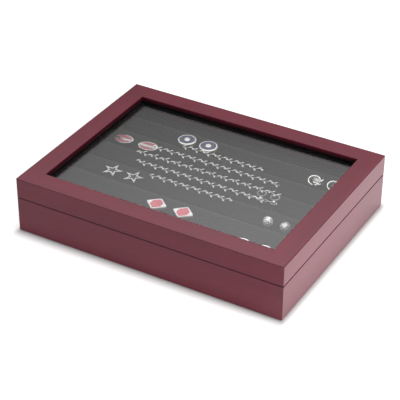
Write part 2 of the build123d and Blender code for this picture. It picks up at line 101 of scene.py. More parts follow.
class Wire:
    """One output socket in a node tree. Its operators add Math nodes to that tree."""

    def __init__(self, shader: "Shader", socket: Any) -> None:
        """Wraps a socket of the shader's tree."""
        self.shader = shader
        self.socket = socket

    def maths(self, operation: str, *values: "Value", swapped: bool = False) -> "Wire":
        """Adds a Math node on this value and others.

        Args:
            operation: what the Math node does.
            values: the node's other operands.
            swapped: True where this value comes last.

        Returns:
            The node's result.
        """
        terms = [*values, self] if swapped else [self, *values]
        return self.shader.node("ShaderNodeMath", {"operation": operation}, dict(enumerate(terms)))

    def __add__(self, other: "Value") -> "Wire":
        """Sum."""
        return self.maths("ADD", other)

    def __radd__(self, other: "Value") -> "Wire":
        """Sum, with a plain number first."""
        return self.maths("ADD", other, swapped=True)

    def __sub__(self, other: "Value") -> "Wire":
        """Difference."""
        return self.maths("SUBTRACT", other)

    def __rsub__(self, other: "Value") -> "Wire":
        """Difference, with a plain number first."""
        return self.maths("SUBTRACT", other, swapped=True)

    def __mul__(self, other: "Value") -> "Wire":
        """Product."""
        return self.maths("MULTIPLY", other)

    def __rmul__(self, other: "Value") -> "Wire":
        """Product, with a plain number first."""
        return self.maths("MULTIPLY", other, swapped=True)

    def __truediv__(self, other: "Value") -> "Wire":
        """Quotient."""
        return self.maths("DIVIDE", other)

    def __rtruediv__(self, other: "Value") -> "Wire":
        """Quotient, with a plain number first."""
        return self.maths("DIVIDE", other, swapped=True)

    def __pow__(self, other: "Value") -> "Wire":
        """Power."""
        return self.maths("POWER", other)

    def __abs__(self) -> "Wire":
        """Size without its sign."""
        return self.maths("ABSOLUTE")

    def at_least(self, other: "Value") -> "Wire":
        """The larger of two values."""
        return self.maths("MAXIMUM", other)

    def at_most(self, other: "Value") -> "Wire":
        """The smaller of two values."""
        return self.maths("MINIMUM", other)

    def step(self, low: float, high: float) -> "Wire":
        """A smooth step over a range of this value.

        Args:
            low: where the step is 0.
            high: where it is 1, which may be below low.

        Returns:
            The step, from 0 to 1.
        """
        if high < low:
            return 1 - self.step(high, low)
        spread = {"interpolation_type": "SMOOTHSTEP"}
        return self.shader.node("ShaderNodeMapRange", spread, {0: self, 1: low, 2: high})


Value = Wire | float


class Shader:
    """The node tree of a material or the world, as it is built."""

    def __init__(self, owner: Any) -> None:
        """Empties the owner's node tree.

        Args:
            owner: the material or world that is built.
        """
        self.owner = owner
        owner.use_nodes = True
        self.tree = owner.node_tree
        self.tree.nodes.clear()

    def node(
        self,
        kind: str,
        settings: Mapping[str, Any] | None = None,
        sockets: Mapping[int | str, Any] | None = None,
        output: int | str = 0,
    ) -> Wire:
        """Adds one node.

        Args:
            kind: the node's type.
            settings: its own settings, such as its operation, which are made first.
            sockets: a value or a link for each input, by number or name.
            output: the output that is wanted.

        Returns:
            That output, or an empty wire for a node that has none.
        """
        made = self.tree.nodes.new(kind)
        for name, setting in (settings or {}).items():
            setattr(made, name, setting)
        for key, value in (sockets or {}).items():
            socket = made.inputs[key]
            if isinstance(value, Wire):
                self.tree.links.new(value.socket, socket)
            elif socket.type == "RGBA":
                socket.default_value = (*value, 1.0)
            else:
                socket.default_value = value
        return Wire(self, made.outputs[output] if made.outputs else None)

    def place(self) -> Wire:
        """The point on the surface, in metres in the piece's own frame."""
        return self.node("ShaderNodeTexCoord", output="Object")

    def ray(self, kind: str) -> Wire:
        """1 for rays of one kind, such as Camera, and 0 for the others."""
        return self.node("ShaderNodeLightPath", output=f"Is {kind} Ray")

    def axes(self, vector: Wire) -> tuple[Wire, Wire, Wire]:
        """A vector's three numbers."""
        parts = self.node("ShaderNodeSeparateXYZ", None, {0: vector})
        return tuple(Wire(self, output) for output in parts.socket.node.outputs)

    def scaled(self, vector: Wire, factors: Sequence[float]) -> Wire:
        """A vector, stretched along each axis."""
        return self.node(
            "ShaderNodeVectorMath", {"operation": "MULTIPLY"}, {0: vector, 1: tuple(factors)}
        )

    def noise(self, vector: Wire, pattern: Pattern) -> Wire:
        """Soft noise of about 0.5 in that pattern."""
        sockets = {"Scale": pattern.scale, "Detail": pattern.detail, "Roughness": pattern.rough}
        return self.node("ShaderNodeTexNoise", None, {"Vector": vector, **sockets})

    def blend(self, factor: Value, first: Any, second: Any) -> Wire:
        """A colour between two, by a factor from 0 to 1."""
        sockets = {0: factor, 6: first, 7: second}
        return self.node("ShaderNodeMix", {"data_type": "RGBA"}, sockets, output=2)

    def bump(self, height: Wire, depth: float) -> Wire:
        """The normal of a surface with a relief of that depth in metres."""
        sockets = {"Height": height, "Distance": depth, "Strength": 1.0}
        return self.node("ShaderNodeBump", None, sockets)

    def principled(self, sockets: Mapping[str, Any]) -> Wire:
        """The main shader, with the sockets given by name."""
        return self.node("ShaderNodeBsdfPrincipled", None, sockets)

    def plain(self, sockets: Mapping[str, Any]) -> Any:
        """Ends the tree in the main shader alone and returns the material."""
        return self.close(self.principled(sockets))

    def clear(self, colour: Colour) -> Wire:
        """A shader that light passes straight through."""
        return self.node("ShaderNodeBsdfTransparent", None, {"Color": colour})

    def mix(self, factor: Value, first: Wire, second: Wire) -> Wire:
        """A shader between two, by a factor from 0 to 1."""
        return self.node("ShaderNodeMixShader", None, {0: factor, 1: first, 2: second})

    def close(self, surface: Wire, kind: str = "ShaderNodeOutputMaterial") -> Any:
        """Ends the tree in its output node and returns the material or world."""
        self.node(kind, None, {"Surface": surface})
        return self.owner


def new_shader(name: str) -> Shader:
    """An empty material of that name, ready to be built."""
    return Shader(bpy.data.materials.new(name))


def dress(piece: Piece, material: Material) -> None:
    """Gives all of a piece one material, and reports it.

    Args:
        piece: the piece.
        material: its finish.
    """
    piece.data.materials.clear()
    piece.data.materials.append(material)
    log.info("%s: %s", piece.name, material.name)


def node_of(name: str) -> Piece:
    """The object of a CAD node."""
    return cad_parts[name]


def corners_of(name: str) -> tuple[Vector, Vector]:
    """The lowest and highest corner of a CAD node at rest."""
    low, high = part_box(name)
    return Vector(low), Vector(high)


def opening_inside(left: str, rear: str) -> Vector:
    """Half the width and depth of the opening between four bars, from the left and rear one."""
    return Vector((-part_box(left)[1][0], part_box(rear)[0][1]))


def clamp(value: float, low: float, high: float) -> float:
    """The value, or the limit that it has passed."""
    return min(max(value, low), high)


def smooth(share: float) -> float:
    """A share from 0 to 1, eased at both ends."""
    return share * share * (3 - 2 * share)


def new_piece(name: str, mesh: Mesh, body: str) -> Piece:
    """Makes a smooth-shaded piece.

    Args:
        name: the piece's name.
        mesh: its form, which is used up.
        body: the body that it rides on.

    Returns:
        The piece.
    """
    data = bpy.data.meshes.new(name)
    bmesh.ops.recalc_face_normals(mesh, faces=mesh.faces)
    mesh.to_mesh(data)
    mesh.free()
    data.polygons.foreach_set("use_smooth", [True] * len(data.polygons))
    piece = bpy.data.objects.new(name, data)
    bpy.context.scene.collection.objects.link(piece)
    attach(piece, body)
    return piece


def bake(piece: Piece) -> None:
    """Applies a piece's modifiers to its mesh.

    Args:
        piece: the piece, which has no modifiers afterwards.
    """
    graph = bpy.context.evaluated_depsgraph_get()
    piece.data = bpy.data.meshes.new_from_object(piece.evaluated_get(graph))
    piece.modifiers.clear()


def arc(centre: Vector, radius: float, start: float, end: float, steps: int) -> list[Vector]:
    """Points on an arc in the YZ plane, between two angles in degrees."""
    angles = (math.radians(start + (end - start) * step / steps) for step in range(steps + 1))
    return [centre + radius * Vector((0, math.cos(a), math.sin(a))) for a in angles]


def even_ring(outline: Sequence[Vector], count: int) -> list[Vector]:
    """Finds points at even steps round a closed outline.

    Args:
        outline: the outline's corners in order.
        count: how many points are wanted.

    Returns:
        The points, from the first corner on.
    """
    runs = [(b - a).length for a, b in zip(outline, [*outline[1:], outline[0]])]
    stride = sum(runs) / count
    ring, index, walked = [], 0, 0.0
    for number in range(count):
        while walked + runs[index] < number * stride:
            walked += runs[index]
            index += 1
        start, end = outline[index], outline[(index + 1) % len(outline)]
        ring.append(start.lerp(end, (number * stride - walked) / runs[index]))
    return ring


def skin(rings: Sequence[Sequence[Vector]]) -> Mesh:
    """Makes a closed skin over rings of points.

    Args:
        rings: the rings in order, with the same number of points in each.

    Returns:
        The skin, with its two ends closed.
    """
    mesh = bmesh.new()
    rows = [[mesh.verts.new(point) for point in ring] for ring in rings]
    for row, after in zip(rows, rows[1:]):
        for index, corner in enumerate(row):
            follow = (index + 1) % len(row)
            mesh.faces.new((corner, row[follow], after[follow], after[index]))
    mesh.faces.new(rows[0])
    mesh.faces.new(rows[-1])
    return mesh


@dataclass(frozen=True)
class CherryLacquer:
    """Dark cherry stain in straight-grained wood, under a satin lacquer."""

    light: Colour = (0.172, 0.0100, 0.0296)
    dark: Colour = (0.127, 0.0066, 0.0210)
    edge: Colour = (0.066, 0.003, 0.010)
    # Painted shade for the walls of the opening and the lid's hidden inside.
    recess_shade: Colour = (0.046, 0.0027, 0.0082)
    # Painted shade: near black low on the opening's walls, by the glass.
    recess_foot_shade: Colour = (0.017, 0.0066, 0.0082)
    figure: Pattern = Pattern(34.0, 3, 0.55)
    streaks: Pattern = Pattern(150.0, 4, 0.6)
    mottle: Pattern = Pattern(22.0, 3)
    pores: Pattern = Pattern(420.0, 2, 0.6)
    tone_shares: Sequence[float] = (0.45, 0.30, 0.25)
    tone_range: Sequence[float] = (0.32, 0.68)
    pore_range: Sequence[float] = (0.62, 0.74)
    streak_height: float = 0.4
    relief_depth: float = 0.010 * MM
    edge_range: Sequence[float] = (1.1 * MM, 0.22 * MM)
    edge_share: float = 0.75
    rim_share: float = 0.6
    arris_range: Sequence[float] = (0.60 * MM, 0.50 * MM)
    arris_share: float = 0.75
    seam_range: Sequence[float] = (1.8 * MM, 1.5 * MM)
    wall_range: Sequence[float] = (0.2 * MM, 0.1 * MM)
    hidden_range: Sequence[float] = (7.5 * MM, 7.4 * MM)
    hidden_heights: Sequence[float] = (35.7 * MM, 50.7 * MM)
    hidden_fade: float = 0.05 * MM
    black_heights: Sequence[float] = (46.0 * MM, 47.0 * MM)
    stain_heights: Sequence[float] = (51.8 * MM, 55.2 * MM)
    roughness: float = 0.16
    mottle_roughness: float = 0.08
    pore_roughness: float = 0.05
    gloss: float = 0.33
    coat: float = 0.16
    coat_roughness: float = 0.10
    raw_roughness: float = 0.7
    raw_gloss: float = 0.06

    def material(
        self, grain: Grain, low: Vector, high: Vector, opening: Vector, seams: Sequence[float]
    ) -> Material:
        """Stains the wood of the pieces that run one way.

        Args:
            grain: the way that the wood runs.
            low: lowest corner of the part of the case that they make.
            high: highest corner of it.
            opening: half the width and depth of the opening between them.
            seams: the heights at which they meet another part or the felt.

        Returns:
            The material.
        """
        shader = new_shader(f"cherry_lacquer_{grain.name.lower()}_{round(high.z / MM)}")
        place = shader.place()
        x, y, z = shader.axes(place)
        beyond = (abs(x) - opening.x).at_least(abs(y) - opening.y)
        edge = self._nearest_edge((x, y, z), low, high)
        # Painted shade: the walls of the opening and the lid's hidden inside take a dark matt
        # wood.
        inside = self._recess_shade_mask(beyond, z)
        # The arrises along the seams take the same dark matt wood: a dark joint where lid meets
        # base, and painted contact shade at the foot.
        for seam in seams:
            near = abs(z - seam).step(*self.seam_range)
            inside = inside.at_least(edge.step(*self.arris_range) * near * self.arris_share)
        run = shader.scaled(place, grain.value)
        figure = shader.noise(run, self.figure.coarser(ACROSS_GRAIN))
        streaks = shader.noise(run, self.streaks.coarser(ACROSS_GRAIN))
        mottle = shader.noise(place, self.mottle)
        pores = shader.noise(run, self.pores.coarser(ACROSS_GRAIN)).step(*self.pore_range)
        relief = shader.bump(streaks * self.streak_height - pores, self.relief_depth)
        of_figure, of_streaks, of_mottle = self.tone_shares
        tone = figure * of_figure + streaks * of_streaks + mottle * of_mottle
        stain = shader.blend(tone.step(*self.tone_range), self.dark, self.light)
        rim = beyond.step(*self.edge_range) * self.rim_share
        outside = edge.step(*self.edge_range).at_least(rim) * self.edge_share
        rough = self.roughness + (mottle - NOISE_MEAN) * self.mottle_roughness
        polished = shader.principled(
            {
                "Base Color": shader.blend(outside, stain, self.edge),
                "Roughness": rough + pores * self.pore_roughness,
                "Specular IOR Level": self.gloss,
                "Coat Weight": self.coat,
                "Coat Roughness": self.coat_roughness,
                "Normal": relief,
            }
        )
        # Painted shade: near black low on the opening's walls by the glass, fading back to the
        # recess shade towards their top.
        black = z.step(*self.black_heights) * (1 - z.step(*self.stain_heights))
        # The dark matt wood of the painted recess shade.
        shaded_matt = shader.principled(
            {
                "Base Color": shader.blend(black, self.recess_shade, self.recess_foot_shade),
                "Roughness": self.raw_roughness,
                "Specular IOR Level": self.raw_gloss,
                "Normal": relief,
            }
        )
        return shader.close(shader.mix(inside, polished, shaded_matt))

    @staticmethod
    def _nearest_edge(axes: Sequence[Wire], low: Vector, high: Vector) -> Wire:
        """How far the nearest outer edge of the case is, where two faces meet.

        Args:
            axes: the point's X, Y and Z.
            low: lowest corner of the part of the case.
            high: highest corner of it.

        Returns:
            The distance to the farther one of the two faces that are nearest.
        """
        middle = (low + high) / 2
        half = (high - low) / 2
        gaps = [half[i] - abs(v - middle[i]) for i, v in enumerate(axes)]
        pairs = [gap.at_least(gaps[i - 1]) for i, gap in enumerate(gaps)]
        return pairs[0].at_most(pairs[1]).at_most(pairs[2])

    def _recess_shade_mask(self, beyond: Wire, z: Wire) -> Wire:
        """Marks the walls of the opening and the inside of the lid, where painted shade darkens
        the wood.

        Args:
            beyond: how far outside the opening a point is.
            z: its height.

        Returns:
            1 there, else 0.
        """
        low, high = self.hidden_heights
        under = (z - low).at_most(high - z).step(0.0, self.hidden_fade)
        return beyond.step(*self.wall_range).at_least(under * beyond.step(*self.hidden_range))


@dataclass(frozen=True)
class BlackBead:
    """Matt black paint on thin wood strips."""

    colour: Colour = (0.012, 0.0112, 0.0116)
    worn: Colour = (0.017, 0.016, 0.0165)
    wear: Pattern = Pattern(160.0, 3)
    roughness: float = 0.5
    wear_roughness: float = 0.15
    gloss: float = 0.2
    strokes: Pattern = Pattern(2600.0)
    stroke_depth: float = 0.01 * MM

    def material(self) -> Material:
        """Mixes the bead's paint.

        Returns:
            The material.
        """
        shader = new_shader("black_bead_paint")
        place = shader.place()
        wear = shader.noise(place, self.wear)
        return shader.plain(
            {
                "Base Color": shader.blend(wear, self.colour, self.worn),
                "Roughness": self.roughness + wear * self.wear_roughness,
                "Specular IOR Level": self.gloss,
                "Normal": shader.bump(shader.noise(place, self.strokes), self.stroke_depth),
            }
        )


@dataclass(frozen=True)
class Velvet:
    """Short black pile on foam."""

    pile: Colour = (0.0150, 0.0148, 0.0145)
    brushed: Colour = (0.0205, 0.0203, 0.0198)
    strokes: Pattern = Pattern(48.0, 3, 0.6)
    stroke_stretch: Sequence[float] = (0.4, 1.0, 1.0)
    stroke_range: Sequence[float] = (0.3, 0.75)
    roughness: float = 1.0
    gloss: float = 0.05
    sheen: float = 0.30
    sheen_roughness: float = 0.45
    sheen_tint: Colour = (0.25, 0.25, 0.25)

    def material(self) -> Material:
        """Makes the velvet of the rolls and the liner.

        Returns:
            The material.
        """
        shader = new_shader("black_velvet")
        run = shader.scaled(shader.place(), self.stroke_stretch)
        strokes = shader.noise(run, self.strokes).step(*self.stroke_range)
        return shader.plain(
            {
                "Base Color": shader.blend(strokes, self.pile, self.brushed),
                "Roughness": self.roughness,
                "Specular IOR Level": self.gloss,
                "Sheen Weight": self.sheen,
                "Sheen Roughness": self.sheen_roughness,
                "Sheen Tint": self.sheen_tint,
            }
        )


@dataclass(frozen=True)
class ClearPane:
    """A clear glass pane: one layer that stands for the gloss of both of its faces."""

    index: float = 1.5
    two_faces: float = 1.82
    tint: Colour = (0.985, 0.985, 0.985)
    borders: Sequence[Sequence[float]] = ((6.2 * MM, 7.3 * MM), (8.1 * MM, 9.6 * MM))
    border_fade: Sequence[float] = (0.3 * MM, 0.5 * MM)
    gloss_shares: Sequence[float] = (0.10, 0.50, 0.40)
    smudges: Pattern = Pattern(40.0, 4, 0.7)
    smudge_roughness: float = 0.012

    def material(self, opening: Vector) -> Material:
        """Makes the pane's glass, whose gloss shows only on the side that faces the viewer.

        Args:
            opening: half the width and depth of the frame's opening.

        Returns:
            The material. Its gloss fades by the left and rear rails, which both faces mirror.
        """
        shader = new_shader("clear_glass_pane")
        place = shader.place()
        x, y, _ = shader.axes(place)
        gaps = (opening.x + x, opening.y - y)
        before, after = self.border_fade
        share, *gains = self.gloss_shares
        for widths, gain in zip(self.borders, gains):
            sides = [gap.step(width - before, width + after) for gap, width in zip(gaps, widths)]
            share = share + sides[0].at_most(sides[1]) * gain
        fresnel = shader.node("ShaderNodeFresnel", None, {"IOR": self.index})
        behind = shader.node("ShaderNodeNewGeometry", output="Backfacing")
        gloss = (fresnel * self.two_faces * (1 - behind) * share).at_most(1.0)
        rough = shader.noise(place, self.smudges) * self.smudge_roughness
        mirror = shader.node(
            "ShaderNodeBsdfGlossy", {"distribution": "GGX"}, {"Color": WHITE, "Roughness": rough}
        )
        return shader.close(shader.mix(gloss, shader.clear(self.tint), mirror))


@dataclass(frozen=True)
class Frosting:
    """Glass that has been etched matt white, with clear specks left in it."""

    colour: Colour = (0.80, 0.80, 0.79)
    roughness: float = 0.7
    gloss: float = 0.3
    cover: float = 0.72
    specks: Pattern = Pattern(5200.0, 3, 0.7)
    speck_share: float = 0.35

    def material(self) -> Material:
        """Makes the etched glass.

        Returns:
            The material.
        """
        shader = new_shader("etched_glass")
        specks = shader.noise(shader.place(), self.specks)
        matt = shader.principled(
            {
                "Base Color": self.colour,
                "Roughness": self.roughness,
                "Specular IOR Level": self.gloss,
            }
        )
        cover = (self.cover + (specks - NOISE_MEAN) * self.speck_share).at_most(1.0)
        return shader.close(shader.mix(cover, shader.clear(WHITE), matt))


@dataclass(frozen=True)
class Metal:
    """A plated or plain metal with fine handling marks."""

    name: str
    colour: Colour
    shade: Colour
    roughness: float
    brush: Sequence[float] = (1.0, 1.0, 1.0)
    marks: Pattern = Pattern(900.0, 3, 0.6)
    mark_depth: float = 0.004 * MM
    tarnish: Pattern = Pattern(320.0, 3, 0.6)
    tarnish_range: Sequence[float] = (0.4, 0.75)
    tarnish_roughness: float = 0.12
    dimple_scale: float = 0.0
    dimple_depth: float = 0.35 * MM
    dimple_range: Sequence[float] = (0.1, 0.6)
    dimple_shade: Colour = (0.02, 0.02, 0.02)
    shade_range: Sequence[float] = (0.60, 0.30)
    shine: float = 1.0
    # Painted shade for the metal under a head, below a given height.
    under_shade: Colour = (0.055, 0.054, 0.052)
    under_shade_height: float = -1.0
    under_shade_fade: float = 0.2 * MM
    dull_roughness: float = 0.3

    def with_under_shade(self, kind: str, height: float) -> "Metal":
        """This metal for one kind of head, with painted shade and more roughness on its hidden
        metal below that height.
        """
        return replace(self, name=f"{self.name}_{kind}", under_shade_height=height)

    def material(self) -> Material:
        """Makes the metal, darkened by painted shade and rougher below a height if one is given.

        Returns:
            The material.
        """
        shader = new_shader(self.name)
        place = shader.place()
        tarnish = shader.noise(place, self.tarnish)
        marks = shader.noise(shader.scaled(place, self.brush), self.marks)
        relief = shader.bump(marks, self.mark_depth)
        colour = shader.blend(tarnish.step(*self.tarnish_range), self.colour, self.shade)
        if self.dimple_scale:
            cells = shader.node(
                "ShaderNodeTexVoronoi", None, {"Vector": place, "Scale": self.dimple_scale}
            )
            relief = shader.bump(cells.step(*self.dimple_range), self.dimple_depth)
            # Painted shade: the dimples' hollows are darkened.
            colour = shader.blend(cells.step(*self.shade_range), colour, self.dimple_shade)
        rough = self.roughness + (tarnish - NOISE_MEAN) * self.tarnish_roughness
        # Painted shade: under the head the metal is darkened, and it is also rougher.
        if self.under_shade_height > 0:
            _, _, z = shader.axes(place)
            under_shade = (self.under_shade_height - z).step(0.0, self.under_shade_fade)
            colour = shader.blend(under_shade, colour, self.under_shade)
            rough = rough + under_shade * self.dull_roughness
        return shader.plain(
            {"Base Color": colour, "Metallic": self.shine, "Roughness": rough, "Normal": relief}
        )


@dataclass(frozen=True)
class Enamel:
    """Coloured enamel, polished level with the metal round it."""

    name: str
    colour: Colour
    pool: Colour
    roughness: float = 0.16
    coat: float = 0.5
    coat_roughness: float = 0.06
    clouds: Pattern = Pattern(260.0, 3, 0.6)
    cloud_range: Sequence[float] = (0.35, 0.7)
    cloud_roughness: float = 0.06
    ripples: Pattern = Pattern(700.0)
    ripple_depth: float = 0.008 * MM

    def material(self) -> Material:
        """Makes the enamel.

        Returns:
            The material.
        """
        shader = new_shader(self.name)
        place = shader.place()
        clouds = shader.noise(place, self.clouds)
        return shader.plain(
            {
                "Base Color": shader.blend(clouds.step(*self.cloud_range), self.colour, self.pool),
                "Roughness": self.roughness + clouds * self.cloud_roughness,
                "Coat Weight": self.coat,
                "Coat Roughness": self.coat_roughness,
                "Normal": shader.bump(shader.noise(place, self.ripples), self.ripple_depth),
            }
        )


@dataclass(frozen=True)
class Board:
    """Fibrous board, card or felt."""

    name: str
    colour: Colour
    fibre_colour: Colour
    fibres: Pattern = Pattern(900.0, 4, 0.7)
    roughness: float = 0.8
    fibre_stretch: Sequence[float] = (1.0, 0.4, 1.0)
    fibre_share: float = 0.7
    fibre_depth: float = 0.03 * MM
    clouds: Pattern = Pattern(60.0, 3)
    tone_range: Sequence[float] = (0.35, 0.65)

    def material(self) -> Material:
        """Makes the board.

        Returns:
            The material.
        """
        shader = new_shader(self.name)
        place = shader.place()
        fibres = shader.noise(shader.scaled(place, self.fibre_stretch), self.fibres)
        clouds = shader.noise(place, self.clouds)
        tone = fibres * self.fibre_share + clouds * (1 - self.fibre_share)
        tone = tone.step(*self.tone_range)
        return shader.plain(
            {
                "Base Color": shader.blend(tone, self.colour, self.fibre_colour),
                "Roughness": self.roughness,
                "Normal": shader.bump(fibres, self.fibre_depth),
            }
        )


@dataclass
class Case:
    """The walls of the base and the rails of the lid."""

    wood: CherryLacquer = field(default_factory=CherryLacquer)
    # Painted recess shade for the front and rear rails, lighter than the one for the left and
    # right rails.
    long_recess_shade: Colour = (0.088, 0.0060, 0.0172)
    panel: Board = Board(
        "stained_panel", (0.045, 0.010, 0.014), (0.070, 0.018, 0.022), Pattern(500.0, 4, 0.7), 0.6
    )

    def build(self) -> None:
        """Dresses every piece of wood."""
        # The rails along X take their own, lighter painted recess shade.
        cuts = {
            Grain.ALONG_X: replace(self.wood, recess_shade=self.long_recess_shade),
            Grain.ALONG_Y: self.wood,
        }
        for part, word in (("base", "wall"), ("lid", "rail")):
            names = {side: f"{part}_{side.word}_{word}" for side in Side}
            boxes = [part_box(name) for name in names.values()]
            low = Vector(min(b[0][i] for b in boxes) for i in range(3))
            high = Vector(max(b[1][i] for b in boxes) for i in range(3))
            opening = opening_inside(names[Side.LEFT], names[Side.REAR])
            seams = (low.z, high.z) if part == "base" else (low.z,)
            woods = {
                cut: wood.material(cut, low, high, opening, seams) for cut, wood in cuts.items()
            }
            for side, name in names.items():
                dress(node_of(name), woods[side.grain])
        dress(node_of("bottom_panel"), self.panel.material())


@dataclass
class Garland:
    """A plain etched ornament on the glass: rows of leaves on waving stems.

    Each row has its place, to the rear of the middle, and half its length.
    """

    rows: Sequence[tuple[float, float]] = (
        (29.0 * MM, 42.0 * MM),
        (14.5 * MM, 66.0 * MM),
        (0.0 * MM, 74.0 * MM),
        (-14.5 * MM, 66.0 * MM),
        (-29.0 * MM, 42.0 * MM),
    )
    lift: float = 0.04 * MM
    middle: float = 4.0 * MM
    wave: float = 12.0 * MM
    sway: float = 1.5 * MM
    stem: float = 0.55 * MM
    stem_steps: int = 4
    leaf_gap: float = 3.0 * MM
    leaf_length: float = 4.4 * MM
    leaf_width: float = 1.7 * MM
    leaf_lean: float = 48.0
    leaf_steps: int = 8
    leaf_point: float = 1.3

    def build(self, height: float) -> Piece:
        """Lays the ornament on the glass.

        Args:
            height: the height of the glass's upper face.

        Returns:
            The ornament, as one piece.
        """
        mesh = bmesh.new()
        for row, (y, half) in enumerate(self.rows):
            count = self.stem_steps * round(2 * half / self.leaf_gap)
            spots = [self._spot(y, half, step / count, row) for step in range(count + 1)]
            for number, spot in enumerate(spots[:-1]):
                self._ribbon(mesh, spot, spots[number + 1], height)
                leaf, rest = divmod(number, self.stem_steps)
                if rest == 0:
                    hand = 1 if leaf % 2 == 0 else -1
                    self._leaf(mesh, spot, hand * math.radians(self.leaf_lean), height)
        return new_piece("etched_garland", mesh, "lid")

    def _spot(self, y: float, half: float, share: float, row: int) -> Vector:
        """Finds a point on a row's stem.

        Args:
            y: the row's place.
            half: half the row's length.
            share: how far along the stem the point is, from 0 to 1.
            row: the row's number; the wave of every second row is turned over.

        Returns:
            The point, seen from above.
        """
        x = (2 * share - 1) * half
        phase = 2 * math.pi * x / self.wave + row * math.pi
        return Vector((self.middle + x, y + self.sway * math.sin(phase)))

    def _ribbon(self, mesh: Mesh, start: Vector, end: Vector, height: float) -> None:
        """Adds a short straight run of stem.

        Args:
            mesh: the ornament.
            start: where the run starts, seen from above.
            end: where it ends.
            height: the height of the glass.
        """
        side = (end - start).orthogonal().normalized() * self.stem / 2
        corners = (start - side, end - side, end + side, start + side)
        mesh.faces.new([mesh.verts.new((c.x, c.y, height + self.lift)) for c in corners])

    def _leaf(self, mesh: Mesh, foot: Vector, lean: float, height: float) -> None:
        """Adds a pointed leaf that leans from its foot on the stem.

        Args:
            mesh: the ornament.
            foot: the leaf's foot, seen from above.
            lean: the way that the leaf points, in radians.
            height: the height of the glass.
        """
        along = Vector((math.cos(lean), math.sin(lean)))
        across = along.orthogonal() * self.leaf_width / 2
        steps = self.leaf_steps
        rim = []
        for side, order in ((1, range(steps + 1)), (-1, range(steps - 1, 0, -1))):
            for step in order:
                share = step / steps
                spot = foot + along * share * self.leaf_length
                rim.append(spot + across * side * math.sin(math.pi * share) ** self.leaf_point)
        level = height + 2 * self.lift
        mesh.faces.new([mesh.verts.new((p.x, p.y, level)) for p in rim])


@dataclass
class Glazing:
    """The glass pane with its ornament, and the beads under it."""

    bead: BlackBead = field(default_factory=BlackBead)
    pane: ClearPane = field(default_factory=ClearPane)
    frosting: Frosting = field(default_factory=Frosting)
    garland: Garland = field(default_factory=Garland)

    def build(self) -> None:
        """Dresses the pane and its beads, and etches the pane."""
        paint = self.bead.material()
        for side in Side:
            dress(node_of(f"glazing_bead_{side.word}"), paint)
        opening = opening_inside("lid_left_rail", "lid_rear_rail")
        dress(node_of("glass_pane"), self.pane.material(opening))
        _, top = corners_of("glass_pane")
        dress(self.garland.build(top.z), self.frosting.material())


@dataclass
class Hinges:
    """Two brass stop hinges with their pins and screws."""

    plate: Metal = Metal(
        "brushed_brass",
        (0.62, 0.42, 0.16),
        (0.50, 0.32, 0.11),
        0.30,
        brush=(0.05, 1.0, 1.0),
        marks=Pattern(2400.0, 3, 0.6),
    )
    turned: Metal = Metal("turned_brass", (0.66, 0.46, 0.19), (0.52, 0.34, 0.13), 0.24)

    def build(self) -> None:
        """Dresses leaves, pins and screws."""
        plate, turned = self.plate.material(), self.turned.material()
        for hand in ("left", "right"):
            dress(node_of(f"lower_hinge_leaf_{hand}"), plate)
            dress(node_of(f"upper_hinge_leaf_{hand}"), plate)
            dress(node_of(f"hinge_pin_{hand}"), turned)
        for part in ("base", "lid"):
            dress(node_of(f"{part}_hinge_screws"), turned)


